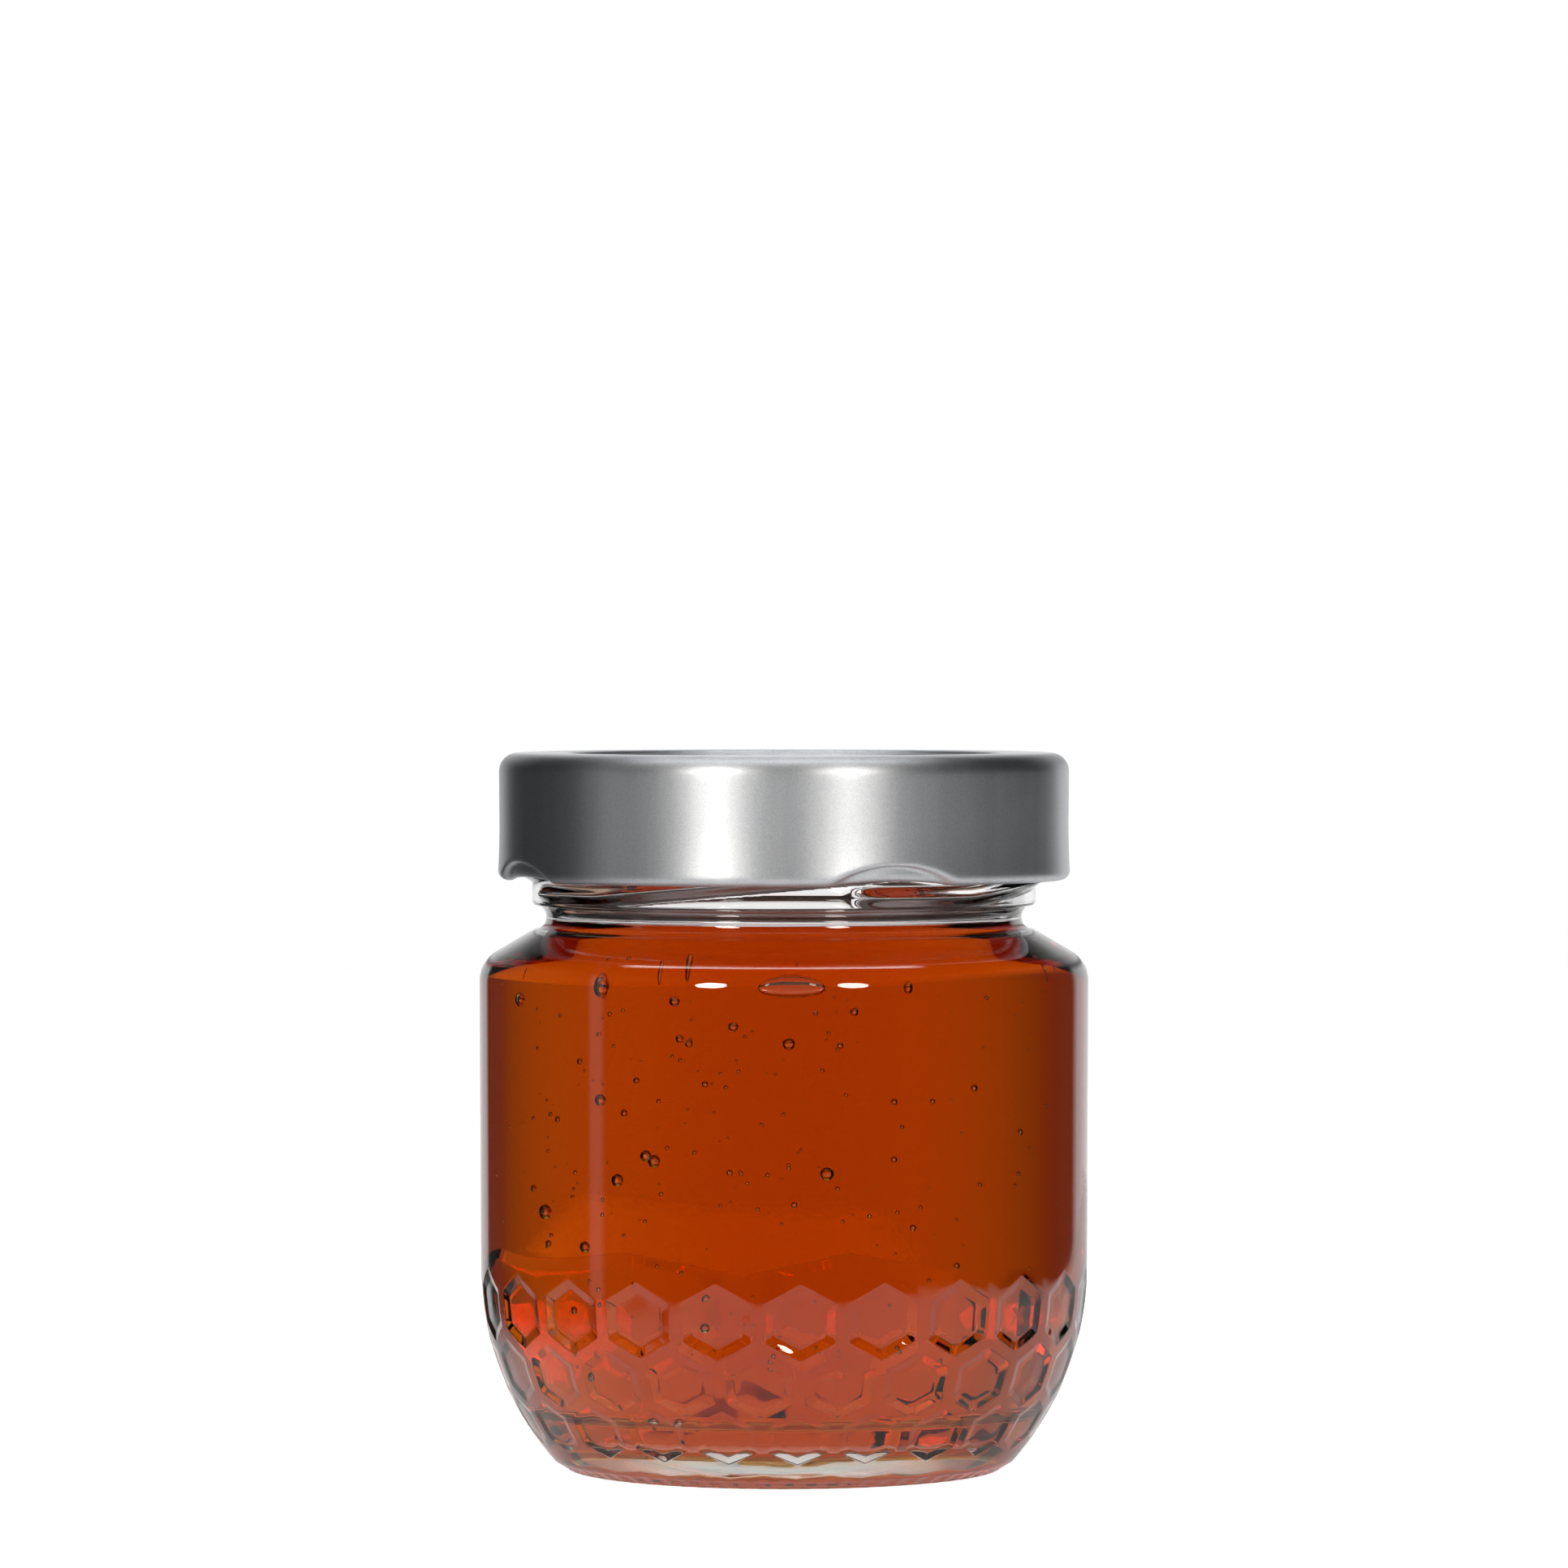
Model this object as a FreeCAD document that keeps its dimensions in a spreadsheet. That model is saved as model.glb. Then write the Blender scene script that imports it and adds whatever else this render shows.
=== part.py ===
"""Honey jar: a squat glass jar with a honeycomb foot, filled with honey and closed by a metal lug lid.

Frame: millimetres, +Z up, the origin at the centre of the ring that the jar stands on. The front is -Y.
Every round piece is a revolved sketch whose points are worked out from the spreadsheet's sizes.
"""

import FreeCAD, Part
import math
import os
import Sketcher

doc = FreeCAD.newDocument("HoneyJar")
sheet = doc.addObject("Spreadsheet::Sheet", "Sizes")

SIZES = [
    # The jar's outside
    ("jar_height", 86.65),  # standing ring to the rim that the lid seals on
    ("body_diameter", 74.14),  # widest, just under the shoulder
    ("body_taper", 0.17),  # how much less the radius is at the heel
    ("heel_height", 24.5),  # where the wall starts to curve in
    ("heel_radius", 35.2),
    ("foot_inset", 8.9),  # body radius at the heel less the foot's edge
    ("ring_inset", 1.9),  # foot's edge to the standing ring
    ("ring_width", 1.2),
    ("base_step", 0.7),  # the base's underside rises this much at the ring, then domes
    ("base_dome", 1.2),
    ("shoulder_slope", 30.5),  # degrees from level
    ("shoulder_corner", 4.0),
    ("neck_diameter", 61.2),
    ("neck_length", 21.15),  # rim to the top of the shoulder
    ("groove_height", 3.1),  # the rounded groove above the shoulder
    ("groove_radius", 1.55),
    ("groove_lip", 0.15),  # the groove's edges lie this far inside the neck
    ("lip_corner", 1.2),
    # The jar's inside
    ("wall_thickness", 2.4),
    ("neck_wall", 2.7),
    ("floor_height", 5.2),
    ("floor_corner", 6.0),
    ("mouth_corner", 0.8),
    ("headspace", 20.3),  # rim to the honey
    # The honeycomb: rows of shallow hexagons pressed in the heel
    ("cell_count", 23),
    ("cell_turn", 3.05),  # degrees from the front to the nearest cell of the top row
    ("cell_ridge", 1.65),
    ("cell_depth", 0.5),
    ("cell_lead", 0.1),  # the cutter starts this far outside the wall
    ("cell_draft", 58.0),  # degrees, the slope of a cell's sides
    ("top_row_tilt", 6.7),  # degrees round the heel's arc to the middle of each row
    ("middle_row_tilt", 19.7),
    ("bottom_row_tilt", 30.9),
    # The four threads on the neck
    ("thread_count", 4),
    ("thread_depth", 1.7),
    ("thread_root", 0.4),  # how far the ridge reaches into the wall
    ("thread_height", 1.9),
    ("thread_crest", 0.9),
    ("thread_drop", 17.45),  # rim to the underside of a thread's level stretch
    ("thread_level", 25.0),  # degrees
    ("thread_lead", 17.7),  # rise in a full turn
    ("thread_rise", 73.0),  # degrees
    ("thread_turn", -70.0),  # degrees from the front to a thread's low end
    # The lid
    ("sheet_thickness", 0.35),
    ("lid_clearance", 2.1),  # between the thread's crest and the skirt
    ("lid_depth", 15.05),  # how far the lid reaches below the rim
    ("lid_corner", 2.25),
    ("curl_radius", 1.1),
    ("curl_return", 0.6),
    ("panel_inset", 1.6),  # the centre panel's edge lies this far inside the mouth
    ("panel_drop", 0.8),
    ("panel_slope", 1.0),
    ("lug_grip", 0.7),  # how far a lug reaches under the thread's crest
    ("lug_height", 0.45),
    ("lug_span", 12.0),  # degrees
    ("lug_turn", 22.4),  # degrees from the front to the middle of a lug
]
for row, (alias, value) in enumerate(SIZES, start=1):
    sheet.set("A%d" % row, alias)
    sheet.set("B%d" % row, str(value))
    sheet.setAlias("B%d" % row, alias)
doc.recompute()

# Radii and heights that several sketches share, as expressions on the sheet.
BODY = "Sizes.body_diameter / 2"
WAIST = "(%s - Sizes.body_taper)" % BODY
NECK = "(Sizes.neck_diameter / 2)"
NECK_BASE = "(Sizes.jar_height - Sizes.neck_length)"
GROOVE_EDGE = "(%s - Sizes.groove_lip)" % NECK
SLOPE = "Sizes.shoulder_slope"
HEEL_AXIS = "(%s - Sizes.heel_radius)" % WAIST
BORE = "(%s - Sizes.neck_wall)" % NECK
CREST = "(%s + Sizes.thread_depth)" % NECK
FOOT = "(%s - Sizes.foot_inset)" % WAIST
LID_BOTTOM = "(Sizes.jar_height - Sizes.lid_depth)"
SKIRT = "(%s + Sizes.lid_clearance + Sizes.sheet_thickness)" % CREST

SHOULDER_RUN = "(%s - %s)" % (BODY, GROOVE_EDGE)
SHOULDER_FOOT = "(%s - %s * tan(%s))" % (NECK_BASE, SHOULDER_RUN, SLOPE)
HALF_TURN = "tan((90 - %s) / 2)" % SLOPE
CORNER = "min(Sizes.shoulder_corner; 0.6 * %s / cos(%s) / %s)" % (SHOULDER_RUN, SLOPE, HALF_TURN)
INNER_CORNER = "(max(%s - Sizes.wall_thickness; 0.2))" % CORNER


def number(expression):
    """The value of an expression as a plain number."""
    value = sheet.evalExpression(expression)
    return float(getattr(value, "Value", value))


def origin_part(body, role):
    return next(part for part in body.Origin.OriginFeatures if part.Role == role)


def new_body(name):
    body = doc.addObject("PartDesign::Body", name)
    body.Label = name
    return body


def attach(body, sketch, role, offset=None):
    """Attaches a sketch to one of the body's own origin planes, moved by an expression."""
    sketch.AttachmentSupport = (origin_part(body, role), "")
    sketch.MapMode = "FlatFace"
    if offset:
        sketch.setExpression("AttachmentOffset", offset)


def bound(sketch, constraint, expression):
    sketch.setExpression("Constraints[%d]" % sketch.addConstraint(constraint), expression)


def place_point(sketch, edge, end, radius, height):
    """Fixes a point of an edge at a radius and height, where "0" lies on the axis itself."""
    if radius == "0":
        sketch.addConstraint(Sketcher.Constraint("PointOnObject", edge, end, -2))
    else:
        bound(sketch, Sketcher.Constraint("DistanceX", -1, 1, edge, end, number(radius)), radius)
    if height == "0":
        sketch.addConstraint(Sketcher.Constraint("PointOnObject", edge, end, -1))
    else:
        bound(sketch, Sketcher.Constraint("DistanceY", -1, 1, edge, end, number(height)), height)


def edge_between(start, end, bend):
    """A straight edge, or an arc of the bend's radius that bulges to the right of the way there."""
    if bend is None:
        return Part.LineSegment(start, end)
    if bend.startswith("-"):
        start, end = end, start
    radius = number(bend.lstrip("-"))
    chord = end.sub(start)
    centre_distance = math.sqrt(radius**2 - (chord.Length / 2) ** 2)
    centre = (start + end) * 0.5 + FreeCAD.Vector(-chord.y, chord.x, 0).normalize() * centre_distance
    angles = [math.atan2(point.y - centre.y, point.x - centre.x) for point in (start, end)]
    if angles[1] < angles[0]:
        angles[1] += 2 * math.pi
    return Part.ArcOfCircle(Part.Circle(centre, FreeCAD.Vector(0, 0, 1), radius), *angles)


def section(body, name, points, offset=None):
    """A closed sketch on the body's XZ plane.

    Each point is (radius, height, bend), all expressions. The bend is the radius of the arc that leads
    to the point, bulging to the right of the way there or, with a minus, to the left.
    """
    sketch = body.newObject("Sketcher::SketchObject", name)
    attach(body, sketch, "XZ_Plane", offset)
    corners = [FreeCAD.Vector(number(radius), number(height), 0) for radius, height, _ in points]
    # An arc that bulges to the left runs the other way, so it starts at its own point.
    backwards = [bool(bend) and bend.startswith("-") for _, _, bend in points]
    for index, (_, _, bend) in enumerate(points):
        sketch.addGeometry(edge_between(corners[index - 1], corners[index], bend), False)
    for index, (radius, height, bend) in enumerate(points):
        end = 1 if backwards[index] else 2
        after = (index + 1) % len(points)
        joins = 2 if backwards[after] else 1
        sketch.addConstraint(Sketcher.Constraint("Coincident", index, end, after, joins))
        place_point(sketch, index, end, radius, height)
        if bend:
            size = bend.lstrip("-")
            bound(sketch, Sketcher.Constraint("Radius", index, number(size)), size)
    return sketch


def turned(body, kind, name, sketch, angle=None):
    """Revolves a section about the body's Z axis: all the way, or by an angle to both sides."""
    feature = body.newObject("PartDesign::%s" % kind, name)
    feature.Profile = sketch
    feature.ReferenceAxis = (origin_part(body, "Z_Axis"), [""])
    feature.Angle = 360
    if angle:
        feature.setExpression("Angle", angle)
    return feature


def round_pattern(body, name, originals, count):
    pattern = body.newObject("PartDesign::PolarPattern", name)
    pattern.Originals = originals
    pattern.Axis = (origin_part(body, "Z_Axis"), [""])
    pattern.Angle = 360
    pattern.setExpression("Occurrences", count)
    body.Tip = pattern
    return pattern


def about_axis(turn):
    """An attachment that swings the XZ plane about the Z axis until +X lies at a turn from the front."""
    return "placement(vector(0; 0; 0); rotation(vector(0; 1; 0); %s - 90))" % turn


def heel_point(radius, tilt):
    """A point on a circle about the heel's centre, at a tilt below level."""
    across = "%s + %s * cos(%s)" % (HEEL_AXIS, radius, tilt)
    height = "Sizes.heel_height - %s * sin(%s)" % (radius, tilt)
    return across, height


def cavity_section(body, name):
    """The jar's inside, from the middle of the floor round to the rim and back to the axis."""
    inner_heel = "(Sizes.heel_radius - Sizes.wall_thickness)"
    drop = "(Sizes.heel_height - Sizes.floor_height - Sizes.floor_corner)"
    reach = "(%s - Sizes.floor_corner)" % inner_heel
    tilt = "asin(%s / %s)" % (drop, reach)
    floor_edge = "%s + %s * cos(%s)" % (HEEL_AXIS, reach, tilt)
    wall = "(%s - Sizes.wall_thickness)" % BODY
    # The inner cone lies a wall's thickness inside the outer one.
    cone_shift = "Sizes.wall_thickness / cos(%s)" % SLOPE
    cone_foot = "(%s + Sizes.wall_thickness * tan(%s) - %s)" % (SHOULDER_FOOT, SLOPE, cone_shift)
    cone_top = "(%s + (%s - %s) * tan(%s))" % (cone_foot, wall, BORE, SLOPE)
    tangent = "%s * %s" % (INNER_CORNER, HALF_TURN)
    return section(
        body,
        name,
        [
            ("0", "Sizes.floor_height", None),
            (floor_edge, "Sizes.floor_height", None),
            heel_point(inner_heel, tilt) + ("Sizes.floor_corner",),
            ("%s - Sizes.wall_thickness" % WAIST, "Sizes.heel_height", inner_heel),
            (wall, "%s - %s" % (cone_foot, tangent), None),
            (
                "%s - %s * cos(%s)" % (wall, tangent, SLOPE),
                "%s + %s * sin(%s)" % (cone_foot, tangent, SLOPE),
                INNER_CORNER,
            ),
            (BORE, cone_top, None),
            (BORE, "Sizes.jar_height - Sizes.mouth_corner", None),
            ("%s + Sizes.mouth_corner" % BORE, "Sizes.jar_height", "-Sizes.mouth_corner"),
            ("0", "Sizes.jar_height", None),
        ],
    )


def cell_row(body, name, tilt, turn):
    """One row of hexagonal cells, cut square to the wall at their middle and repeated round the jar."""
    across, height = heel_point("(Sizes.heel_radius + Sizes.cell_lead)", tilt)
    offset = (
        "placement(vector((%s) * sin(%s); %s; (%s) * cos(%s));"
        " rotation(vector(0; 1; 0); %s) * rotation(vector(1; 0; 0); %s))"
    ) % (across, turn, height, across, turn, turn, tilt)
    sketch = body.newObject("Sketcher::SketchObject", name + "_outline")
    attach(body, sketch, "XZ_Plane", offset)
    wall_radius = heel_point("Sizes.heel_radius", tilt)[0]
    flats = "(2 * pi * (%s) / Sizes.cell_count - Sizes.cell_ridge)" % wall_radius
    circle = "%s / sqrt(3)" % flats
    size = number(circle)
    corners = []
    for corner in range(6):
        angle = math.radians(90 + 60 * corner)
        corners.append(FreeCAD.Vector(size * math.cos(angle), size * math.sin(angle), 0))
    for corner in range(6):
        sketch.addGeometry(Part.LineSegment(corners[corner], corners[(corner + 1) % 6]), False)
    guide = sketch.addGeometry(Part.Circle(FreeCAD.Vector(), FreeCAD.Vector(0, 0, 1), size), True)
    sketch.addConstraint(Sketcher.Constraint("Coincident", guide, 3, -1, 1))
    bound(sketch, Sketcher.Constraint("Radius", guide, size), circle)
    for corner in range(6):
        sketch.addConstraint(Sketcher.Constraint("Coincident", corner, 2, (corner + 1) % 6, 1))
        sketch.addConstraint(Sketcher.Constraint("PointOnObject", corner, 1, guide))
        if corner:
            sketch.addConstraint(Sketcher.Constraint("Equal", 0, corner))
    sketch.addConstraint(Sketcher.Constraint("PointOnObject", 0, 1, -2))
    doc.recompute()
    pocket = body.newObject("PartDesign::Pocket", name)
    pocket.Profile = sketch
    pocket.Type = "Length"
    pocket.setExpression("Length", "Sizes.cell_depth + Sizes.cell_lead")
    pocket.setExpression("TaperAngle", "-Sizes.cell_draft")
    doc.recompute()
    return round_pattern(body, name + "s", [pocket], "Sizes.cell_count")


def build_jar():
    """The glass: outside, inside, honeycomb cells and threads."""
    body = new_body("jar")
    tangent = "%s * %s" % (CORNER, HALF_TURN)
    foot_tilt = "acos((%s - %s) / Sizes.heel_radius)" % (FOOT, HEEL_AXIS)
    foot_height = heel_point("Sizes.heel_radius", foot_tilt)[1]
    ring = "(%s - Sizes.ring_inset)" % FOOT
    ring_inner = "(%s - Sizes.ring_width)" % ring
    step = "(%s - Sizes.base_step)" % ring_inner
    dome_radius = "((%s)^2 + Sizes.base_dome^2) / (2 * Sizes.base_dome)" % step
    # The groove is drawn as two arcs that meet at its deepest point, so that it may be a half circle.
    groove_sides = "max(Sizes.groove_radius^2 - (Sizes.groove_height / 2)^2; 0)"
    groove_floor = "%s - (Sizes.groove_radius - sqrt(%s))" % (GROOVE_EDGE, groove_sides)
    groove_middle = "%s + Sizes.groove_height / 2" % NECK_BASE
    outside = section(
        body,
        "jar_outline",
        [
            ("0", "Sizes.base_step + Sizes.base_dome", None),
            (step, "Sizes.base_step", "-(%s)" % dome_radius),
            (ring_inner, "0", None),
            (ring, "0", None),
            (FOOT, foot_height, None),
            (WAIST, "Sizes.heel_height", "Sizes.heel_radius"),
            (BODY, "%s - %s" % (SHOULDER_FOOT, tangent), None),
            (
                "%s - %s * cos(%s)" % (BODY, tangent, SLOPE),
                "%s + %s * sin(%s)" % (SHOULDER_FOOT, tangent, SLOPE),
                CORNER,
            ),
            (GROOVE_EDGE, NECK_BASE, None),
            (groove_floor, groove_middle, "-Sizes.groove_radius"),
            (GROOVE_EDGE, "%s + Sizes.groove_height" % NECK_BASE, "-Sizes.groove_radius"),
            (NECK, "%s + Sizes.groove_height + 2 * Sizes.groove_lip" % NECK_BASE, None),
            (NECK, "Sizes.jar_height - Sizes.lip_corner", None),
            ("%s - Sizes.lip_corner" % NECK, "Sizes.jar_height", "Sizes.lip_corner"),
            ("0", "Sizes.jar_height", None),
        ],
    )
    turned(body, "Revolution", "jar_block", outside)
    doc.recompute()
    turned(body, "Groove", "jar_cavity", cavity_section(body, "jar_inside"))
    doc.recompute()
    half_pitch = "180 / Sizes.cell_count"
    cell_row(body, "top_cell", "Sizes.top_row_tilt", "Sizes.cell_turn")
    cell_row(body, "middle_cell", "Sizes.middle_row_tilt", "(Sizes.cell_turn + %s)" % half_pitch)
    cell_row(body, "bottom_cell", "Sizes.bottom_row_tilt", "Sizes.cell_turn")
    add_threads(body)
    return body


def thread_profile(body, name, turn):
    """A thread's section: steep flanks from inside the neck's wall out to a flat crest."""
    low = "(Sizes.jar_height - Sizes.thread_drop)"
    flank = "(Sizes.thread_height - Sizes.thread_crest) / 2"
    root = "%s - Sizes.thread_root" % NECK
    points = [
        (root, low, None),
        (NECK, low, None),
        (CREST, "%s + %s" % (low, flank), None),
        (CREST, "%s + %s + Sizes.thread_crest" % (low, flank), None),
        (NECK, "%s + Sizes.thread_height" % low, None),
        (root, "%s + Sizes.thread_height" % low, None),
    ]
    return section(body, name, points, about_axis(turn))


def add_threads(body):
    """Four short threads: each has a level stretch at its low end and then climbs to the right."""
    level_end = "(Sizes.thread_turn + Sizes.thread_level)"
    middle = "(Sizes.thread_turn + Sizes.thread_level / 2)"
    level = turned(
        body, "Revolution", "thread_level", thread_profile(body, "thread_level_profile", middle)
    )
    level.Midplane = True
    level.setExpression("Angle", "Sizes.thread_level")
    doc.recompute()
    climb = body.newObject("PartDesign::AdditiveHelix", "thread_climb")
    climb.Profile = thread_profile(body, "thread_climb_profile", level_end)
    climb.ReferenceAxis = (origin_part(body, "Z_Axis"), [""])
    climb.Mode = 0
    climb.setExpression("Pitch", "Sizes.thread_lead")
    climb.setExpression("Height", "Sizes.thread_lead * Sizes.thread_rise / 360")
    doc.recompute()
    round_pattern(body, "threads", [level, climb], "Sizes.thread_count")


def build_honey():
    """The honey: what fills the jar's inside up to its level."""
    body = new_body("honey")
    turned(body, "Revolution", "honey_fill", cavity_section(body, "honey_outline"))
    doc.recompute()
    cover = body.newObject("Sketcher::SketchObject", "honey_level")
    level = "placement(vector(0; 0; Sizes.jar_height - Sizes.headspace); rotation(vector(0; 0; 1); 0))"
    attach(body, cover, "XY_Plane", level)
    cover.addGeometry(Part.Circle(FreeCAD.Vector(), FreeCAD.Vector(0, 0, 1), number(BODY)), False)
    cover.addConstraint(Sketcher.Constraint("Coincident", 0, 3, -1, 1))
    bound(cover, Sketcher.Constraint("Radius", 0, number(BODY)), BODY)
    doc.recompute()
    above = body.newObject("PartDesign::Pocket", "honey_surface")
    above.Profile = cover
    above.Type = "Length"
    above.Reversed = True
    above.setExpression("Length", "2 * Sizes.headspace")
    return body


def build_lid():
    """The lid: pressed sheet with a dropped centre panel, a curled edge and lugs under the threads."""
    body = new_body("lid")
    sheet_inner = "(%s - Sizes.sheet_thickness)" % SKIRT
    top = "(Sizes.jar_height + Sizes.sheet_thickness)"
    panel = "(%s - Sizes.panel_inset)" % BORE
    panel_inner = "(%s - Sizes.panel_slope)" % panel
    curl_height = "(%s + Sizes.curl_radius)" % LID_BOTTOM
    curl_middle = "(%s - Sizes.curl_radius)" % SKIRT
    curl_end = "(%s - 2 * Sizes.curl_radius)" % SKIRT
    curl_inside = "(Sizes.curl_radius - Sizes.sheet_thickness)"
    points = [
        ("0", "%s - Sizes.panel_drop - Sizes.sheet_thickness" % top, None),
        (panel_inner, "%s - Sizes.panel_drop - Sizes.sheet_thickness" % top, None),
        (panel, "Sizes.jar_height", None),
        ("%s - Sizes.lid_corner" % SKIRT, "Sizes.jar_height", None),
        (
            sheet_inner,
            "%s - Sizes.lid_corner" % top,
            "-(Sizes.lid_corner - Sizes.sheet_thickness)",
        ),
        (sheet_inner, curl_height, None),
        (curl_middle, "%s + Sizes.sheet_thickness" % LID_BOTTOM, "-%s" % curl_inside),
        ("%s + Sizes.sheet_thickness" % curl_end, curl_height, "-%s" % curl_inside),
        ("%s + Sizes.sheet_thickness" % curl_end, "%s + Sizes.curl_return" % curl_height, None),
        (curl_end, "%s + Sizes.curl_return" % curl_height, None),
        (curl_end, curl_height, None),
        (curl_middle, LID_BOTTOM, "Sizes.curl_radius"),
        (SKIRT, curl_height, "Sizes.curl_radius"),
        (SKIRT, "%s - Sizes.lid_corner" % top, None),
        ("%s - Sizes.lid_corner" % SKIRT, top, "Sizes.lid_corner"),
        (panel, top, None),
        (panel_inner, "%s - Sizes.panel_drop" % top, None),
        ("0", "%s - Sizes.panel_drop" % top, None),
    ]
    turned(body, "Revolution", "lid_shell", section(body, "lid_section", points))
    doc.recompute()
    lug_inner = "(%s - Sizes.lug_grip)" % CREST
    lug_outer = "(%s - Sizes.curl_radius)" % SKIRT
    lug_points = [
        (lug_inner, LID_BOTTOM, None),
        (lug_outer, LID_BOTTOM, None),
        (lug_outer, "%s + Sizes.lug_height" % LID_BOTTOM, None),
        (lug_inner, "%s + Sizes.lug_height" % LID_BOTTOM, None),
    ]
    lug = turned(
        body,
        "Revolution",
        "lug",
        section(body, "lug_section", lug_points, about_axis("Sizes.lug_turn")),
    )
    lug.Midplane = True
    lug.setExpression("Angle", "Sizes.lug_span")
    doc.recompute()
    round_pattern(body, "lugs", [lug], "Sizes.thread_count")
    return body


pieces = [build_jar(), build_honey(), build_lid()]
doc.recompute()
for item in doc.Objects:
    if "Invalid" in item.State or "Error" in item.State:
        raise RuntimeError("%s failed: %s" % (item.Name, item.State))
for piece in pieces:
    if piece.Shape.isNull() or not piece.Shape.isValid():
        raise RuntimeError("%s has no valid shape" % piece.Label)
    print(piece.Label, len(piece.Shape.Solids), round(piece.Shape.Volume), piece.Shape.BoundBox)
os.makedirs("parts", exist_ok=True)
for piece in pieces:
    piece.Shape.exportStep("parts/%s.step" % piece.Label)
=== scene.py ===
"""A glass honey jar: a honeycombed jar, the honey in it and a lug lid of satin tinplate."""

import math
import random

import bpy
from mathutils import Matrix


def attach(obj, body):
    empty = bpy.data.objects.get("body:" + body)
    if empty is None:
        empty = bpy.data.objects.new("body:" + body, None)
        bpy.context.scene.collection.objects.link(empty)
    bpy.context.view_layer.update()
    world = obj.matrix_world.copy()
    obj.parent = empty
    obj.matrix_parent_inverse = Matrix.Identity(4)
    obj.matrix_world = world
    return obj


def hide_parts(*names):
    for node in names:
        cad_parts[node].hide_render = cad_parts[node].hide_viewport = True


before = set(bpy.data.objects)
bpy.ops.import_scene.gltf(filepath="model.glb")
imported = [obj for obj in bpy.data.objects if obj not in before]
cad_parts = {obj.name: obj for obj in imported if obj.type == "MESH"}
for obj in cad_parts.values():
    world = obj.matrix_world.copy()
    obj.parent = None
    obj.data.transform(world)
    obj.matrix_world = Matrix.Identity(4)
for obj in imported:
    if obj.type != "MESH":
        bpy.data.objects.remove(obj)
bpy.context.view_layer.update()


# ---------------------------------------------------------------------------------------------------
# The jar. Clear soda-lime glass, blown in a two-part mould. The heel carries three rows of pressed
# honeycomb cells, the foot a row of fine knurls, and the neck four short lug threads.
# ---------------------------------------------------------------------------------------------------

# Lengths are in millimetres and angles in degrees. The finished meshes are in metres.
MM = 0.001
JAR_CELLS = 23
CELL_TURN = 3.05
COLUMNS = JAR_CELLS * 8

HEEL_AXIS = 1.7
HEEL_HEIGHT = 24.5
HEEL_RADIUS = 35.2
INNER_HEEL_RADIUS = 32.8
INNER_HEEL_END = -29.75
WALL_RADIUS = 37.07
WALL_FLARE = 0.17
WALL_RISE = 34.8
INNER_RADIUS = 34.5
SHOULDER_HEIGHT = 59.31
SHOULDER_BEND = 59.5
GROOVE_AXIS = 30.45
NECK_RADIUS = 30.6
NECK_TOP = 85.45
FLOOR_HEIGHT = 5.2
HONEY_LEVEL = 66.35


def start_piece():
    """Leaves edit mode with nothing selected, ready for the next primitive."""
    if bpy.context.object and bpy.context.object.mode != "OBJECT":
        bpy.ops.object.mode_set(mode="OBJECT")
    bpy.ops.object.select_all(action="DESELECT")


def select_only(piece):
    """Leaves edit mode with this one piece selected and active."""
    start_piece()
    piece.select_set(True)
    bpy.context.view_layer.objects.active = piece


def edit(piece, kind="VERT"):
    """Opens one piece in edit mode with nothing selected."""
    select_only(piece)
    bpy.ops.object.mode_set(mode="EDIT")
    bpy.ops.mesh.select_mode(type=kind)
    bpy.ops.mesh.select_all(action="DESELECT")


def turn_outwards(piece):
    """Turns every face of a closed piece outwards."""
    edit(piece)
    bpy.ops.mesh.select_all(action="SELECT")
    bpy.ops.mesh.normals_make_consistent(inside=False)
    bpy.ops.object.mode_set(mode="OBJECT")


def select_edges(piece, test):
    """Selects the edges whose two ends both pass the test."""
    bpy.ops.object.mode_set(mode="OBJECT")
    corners = piece.data.vertices
    for edge in piece.data.edges:
        edge.select = all(test(corners[i].co) for i in edge.vertices)
    bpy.ops.object.mode_set(mode="EDIT")


def arc(centre, radius, first, last, steps):
    """Points (across, up) on an arc, from one angle to another in degrees."""
    points = []
    for step in range(steps + 1):
        angle = math.radians(first + (last - first) * step / steps)
        points.append((centre[0] + radius * math.cos(angle), centre[1] + radius * math.sin(angle)))
    return points


def line(start, end, steps):
    """Points (across, up) on a straight run, without its first."""
    points = []
    for step in range(1, steps + 1):
        share = step / steps
        points.append((start[0] + (end[0] - start[0]) * share, start[1] + (end[1] - start[1]) * share))
    return points


def spun(name, outline, steps, turn=0.0):
    """Draws an outline (mm across, mm up) as a chain of edges and spins it about the upright axis."""
    start_piece()
    swing = math.radians(turn)
    ahead = (math.sin(swing), -math.cos(swing))
    places = [(across * MM * ahead[0], across * MM * ahead[1], up * MM) for across, up in outline]
    bpy.ops.mesh.primitive_plane_add(size=MM, location=(0, 0, 0))
    piece = bpy.context.object
    piece.name = name
    piece.data.name = name
    bpy.ops.object.mode_set(mode="EDIT")
    bpy.ops.mesh.select_mode(type="VERT")
    bpy.ops.mesh.select_all(action="SELECT")
    bpy.ops.mesh.merge(type="CENTER")
    bpy.ops.transform.translate(value=places[0])
    for before, after in zip(places, places[1:]):
        step = tuple(b - a for a, b in zip(before, after))
        bpy.ops.mesh.extrude_region_move(TRANSFORM_OT_translate={"value": step})
    bpy.ops.mesh.select_all(action="SELECT")
    bpy.ops.mesh.spin(steps=steps, angle=2 * math.pi, center=(0, 0, 0), axis=(0, 0, 1))
    bpy.ops.mesh.select_all(action="SELECT")
    bpy.ops.mesh.remove_doubles(threshold=0.001 * MM)
    bpy.ops.object.mode_set(mode="OBJECT")
    return piece


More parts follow.
